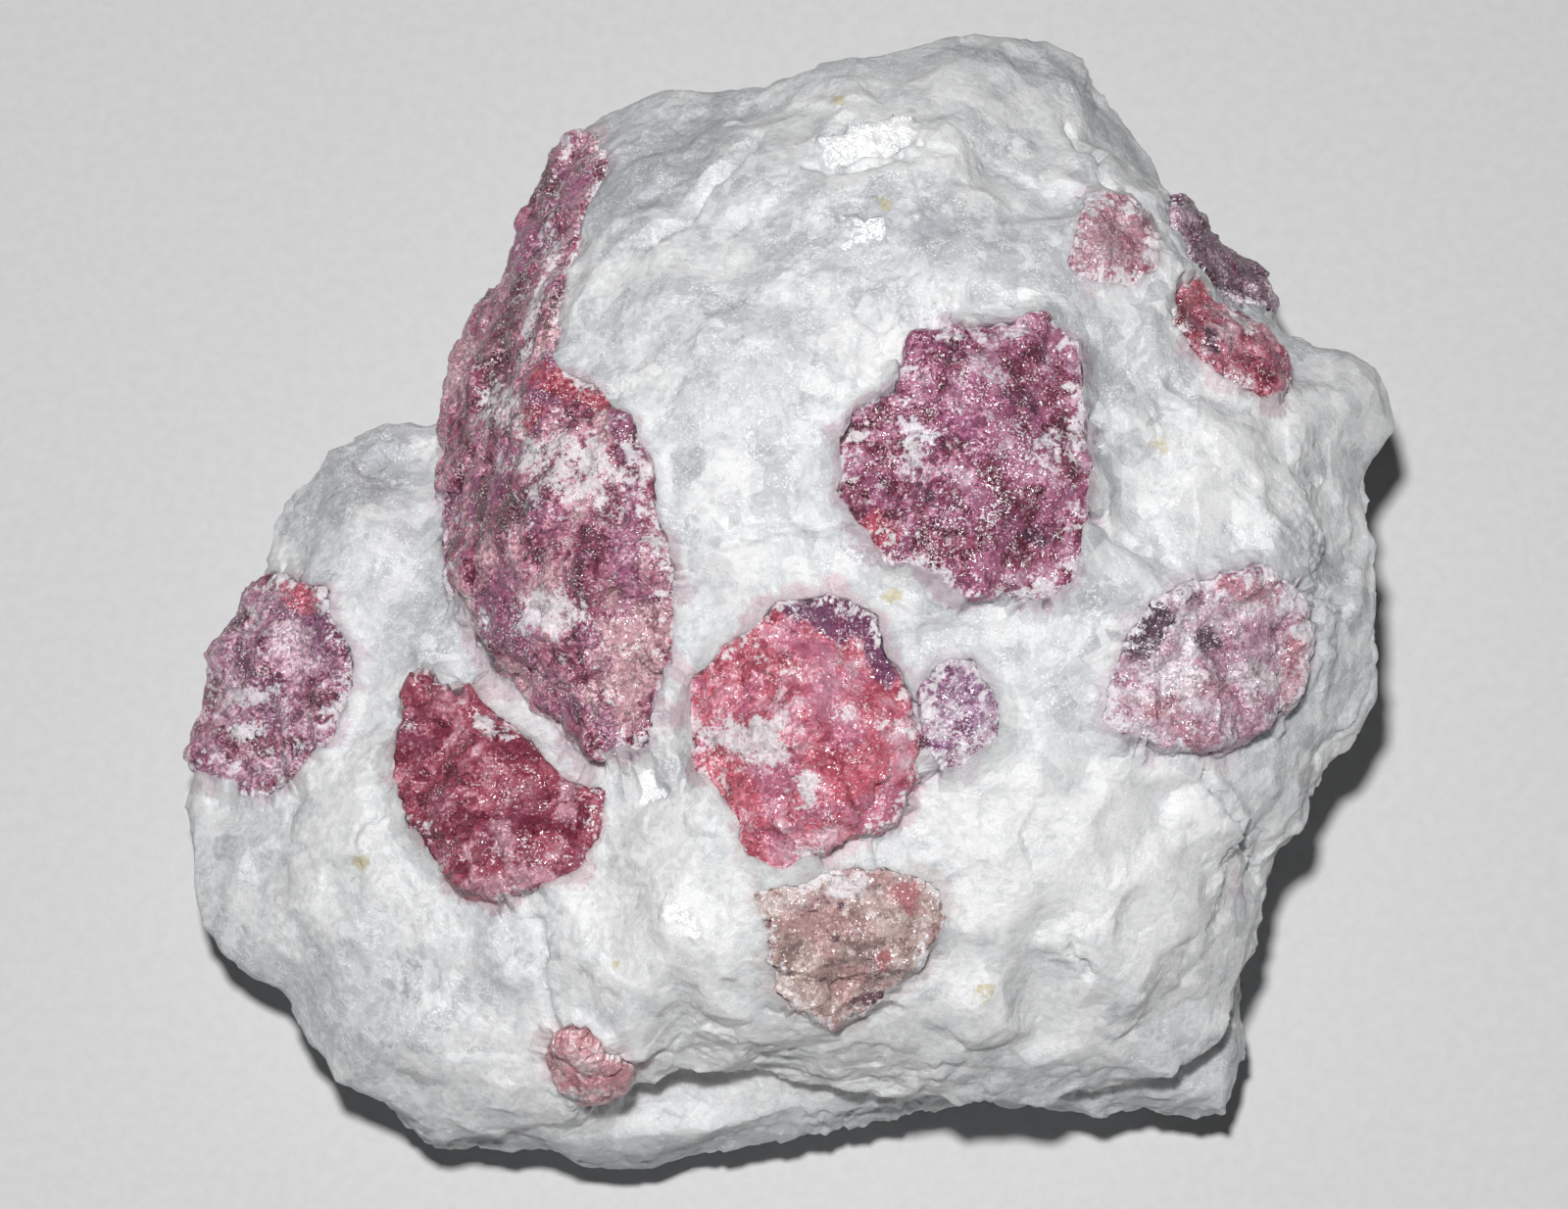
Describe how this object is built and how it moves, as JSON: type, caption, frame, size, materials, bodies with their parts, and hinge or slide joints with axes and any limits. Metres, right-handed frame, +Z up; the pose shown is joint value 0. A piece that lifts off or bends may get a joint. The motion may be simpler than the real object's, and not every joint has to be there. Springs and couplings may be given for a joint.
{
  "type": "tourmaline in matrix",
  "caption": "Hand specimen of pink tourmaline crystals set in a broken block of white feldspar, cut flat underneath so that it rests on a shelf.",
  "frame": {"origin": "on the flat foot's plane, under the middle of the bounding box", "axes": "+X to the right and +Z up as the block rests, +Y away from the viewer"},
  "size_m": [0.081, 0.0754, 0.0392],
  "materials": {
    "matrix": "broken, sugary",
    "tourmaline_flank": "vitreous, broken",
    "tourmaline_left_rim": "vitreous, broken",
    "tourmaline_raspberry": "vitreous, broken",
    "tourmaline_watermelon": "vitreous, broken",
    "tourmaline_purple": "vitreous, broken",
    "tourmaline_speckled": "vitreous, broken",
    "tourmaline_right_rim": "vitreous, broken",
    "tourmaline_back_slope": "vitreous, broken",
    "tourmaline_pale": "vitreous, broken",
    "tourmaline_violet": "vitreous, broken",
    "tourmaline_brown": "vitreous, broken",
    "tourmaline_salmon": "vitreous, broken"
  },
  "bodies": {
    "root": {"matrix": "matrix", "tourmaline_flank": "tourmaline_flank", "tourmaline_left_rim": "tourmaline_left_rim", "tourmaline_raspberry": "tourmaline_raspberry", "tourmaline_watermelon": "tourmaline_watermelon", "tourmaline_purple": "tourmaline_purple", "tourmaline_speckled": "tourmaline_speckled", "tourmaline_right_rim": "tourmaline_right_rim", "tourmaline_back_slope": "tourmaline_back_slope", "tourmaline_pale": "tourmaline_pale", "tourmaline_violet": "tourmaline_violet", "tourmaline_brown": "tourmaline_brown", "tourmaline_salmon": "tourmaline_salmon"}
  },
  "joints": []
}
